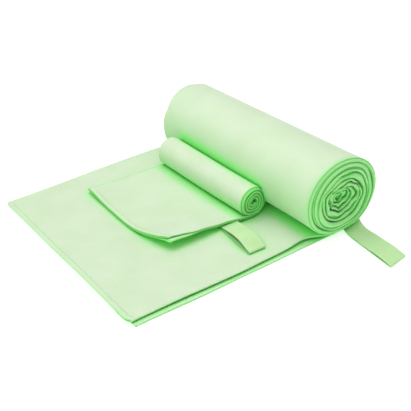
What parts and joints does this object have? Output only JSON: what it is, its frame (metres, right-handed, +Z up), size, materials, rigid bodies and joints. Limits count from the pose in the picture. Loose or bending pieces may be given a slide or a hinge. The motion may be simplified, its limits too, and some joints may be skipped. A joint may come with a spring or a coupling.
{
  "type": "quick dry towel set",
  "caption": "Two folded quick-dry microfibre towels, one large and one small, partly rolled up, each with a hanging loop of ribbed webbing.",
  "frame": {"origin": "bottom centre of the whole set, on the surface that the towels lie on", "axes": "+X along the rolls towards their stepped ends and the hanging loops; +Y from the free ends of the strips to the rolls; +Z up"},
  "size_m": [0.2624, 0.2294, 0.069],
  "materials": {
    "microfibre": "napped microfibre cloth, matt, mint green",
    "webbing": "flat ribbed elastic webbing, yellow-green",
    "thread": "polyester sewing thread"
  },
  "bodies": {
    "large_towel": {"large_towel_roll": "microfibre", "large_towel_flap": "microfibre", "large_side_hem_thread": "thread", "large_loop_root": "webbing", "large_loop_tack": "thread"},
    "large_free_end": {"large_towel_free_end": "microfibre", "large_end_hem_thread": "thread"},
    "large_loop": {"large_hanging_loop": "webbing"},
    "small_towel": {"small_towel_roll": "microfibre", "small_towel_flap": "microfibre", "small_side_hem_thread": "thread", "small_loop_root": "webbing", "small_loop_tack": "thread"},
    "small_free_end": {"small_towel_free_end": "microfibre", "small_end_hem_thread": "thread"},
    "small_loop": {"small_hanging_loop": "webbing"}
  },
  "joints": [
    {"name": "large_free_end_fold", "type": "hinge", "parent": "large_towel", "child": "large_free_end", "pos_m": [-0.03125, -0.06675, 0.003], "axis": [-1, 0, 0], "range_deg": [0, 90]},
    {"name": "large_loop_swing", "type": "hinge", "parent": "large_towel", "child": "large_loop", "pos_m": [0.08225, 0.09825, 0.002], "axis": [-0.165, -0.9863, 0], "range_deg": [0, 70]},
    {"name": "small_towel_lift", "type": "slide", "parent": "large_towel", "child": "small_towel", "axis": [0, -0.5, 0.866], "range_m": [0, 0.15]},
    {"name": "small_free_end_fold", "type": "hinge", "parent": "small_towel", "child": "small_free_end", "pos_m": [-0.04325, 0.00225, 0.0056], "axis": [-1, 0, 0], "range_deg": [0, 90]},
    {"name": "small_loop_swing", "type": "hinge", "parent": "small_towel", "child": "small_loop", "pos_m": [0.01945, 0.01575, 0.0053], "axis": [-0.165, -0.9863, 0], "range_deg": [0, 70]}
  ]
}
